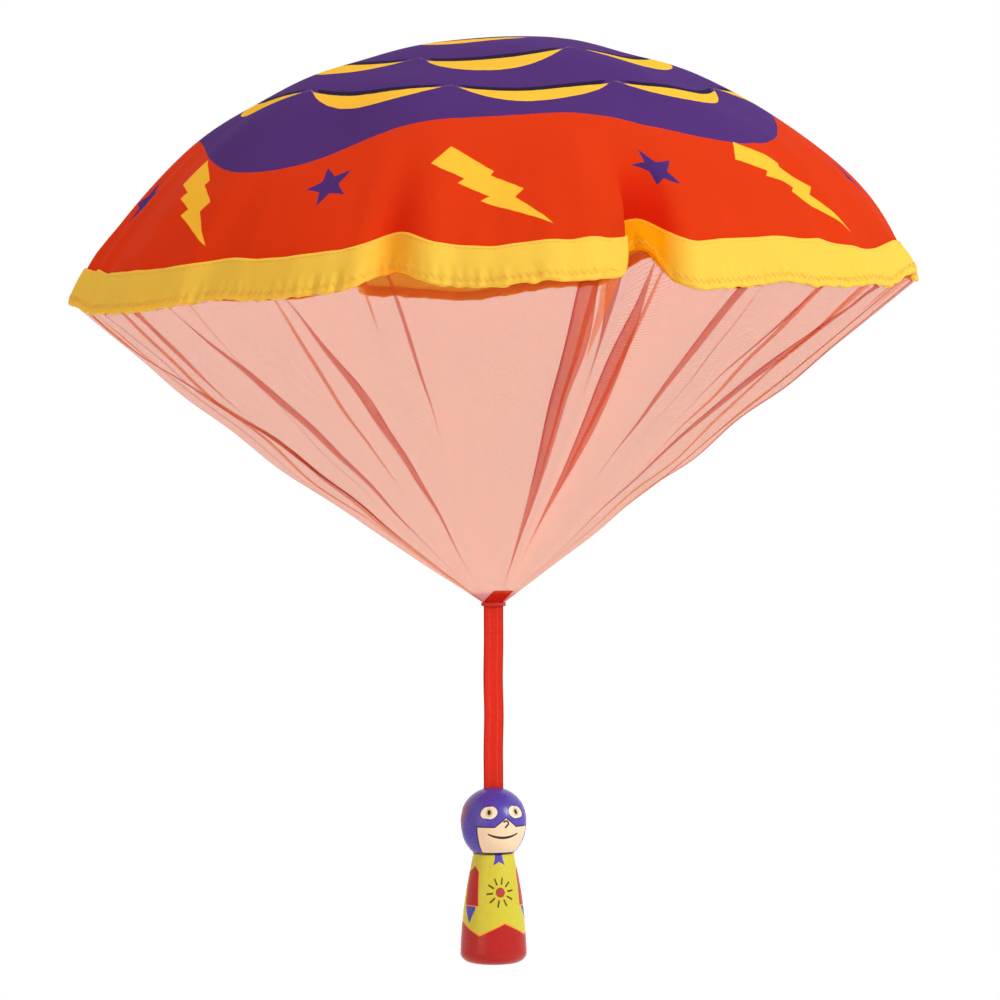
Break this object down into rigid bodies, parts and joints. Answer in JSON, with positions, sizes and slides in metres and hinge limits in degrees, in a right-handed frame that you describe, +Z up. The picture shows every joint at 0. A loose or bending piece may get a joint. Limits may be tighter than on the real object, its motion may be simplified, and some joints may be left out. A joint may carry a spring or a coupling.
{
  "type": "toy parachute",
  "caption": "Toy parachute: printed cloth canopy with a hem band, a net cone gathered to a collar, and a turned wooden figure hanging on a flat strap.",
  "frame": {"origin": "the crown of the canopy, on its outer face", "axes": "+Z up along the strap towards the crown, -Y the way the figure faces, +X to the right seen from the front"},
  "size_m": [0.4258, 0.426, 0.4638],
  "materials": {
    "printed_cloth": "thin woven polyester, printed red with a purple middle and yellow bolts",
    "band_cloth": "thin woven polyester, golden yellow, overlocked along the edge",
    "net_cloth": "fine red tulle, see-through",
    "thread": "red sewing thread",
    "ribbon": "red woven ribbon with a slight sheen",
    "head_paint": "turned wood in gloss paint, purple hood with a pale face",
    "bare_wood": "bare beech dowel",
    "body_paint": "turned wood in gloss paint, yellow above and red below"
  },
  "bodies": {
    "canopy": {"canopy_cloth": "printed_cloth", "hem_band": "band_cloth", "net_cone": "net_cloth", "tip_binding": "thread", "strap_fold": "ribbon"},
    "strap_top": {"strap_top": "ribbon"},
    "strap_upper": {"strap_upper": "ribbon"},
    "strap_lower": {"strap_lower": "ribbon"},
    "figure": {"strap_end": "ribbon", "figure_head": "head_paint", "neck_dowel": "bare_wood", "figure_body": "body_paint"}
  },
  "joints": [
    {"name": "strap_sway", "type": "hinge", "parent": "canopy", "child": "strap_top", "pos_m": [0, 0, -0.28772], "axis": [0, 1, 0], "range_deg": [-30, 30]},
    {"name": "strap_swing", "type": "hinge", "parent": "strap_top", "child": "strap_upper", "pos_m": [0, 0, -0.29272], "axis": [1, 0, 0], "range_deg": [-75, 75]},
    {"name": "strap_twist", "type": "hinge", "parent": "strap_upper", "child": "strap_lower", "pos_m": [0, 0, -0.33372], "axis": [0, 0, 1], "range_deg": [-180, 180]},
    {"name": "figure_nod", "type": "hinge", "parent": "strap_lower", "child": "figure", "pos_m": [0, 0, -0.37472], "axis": [1, 0, 0], "range_deg": [-75, 75]}
  ]
}
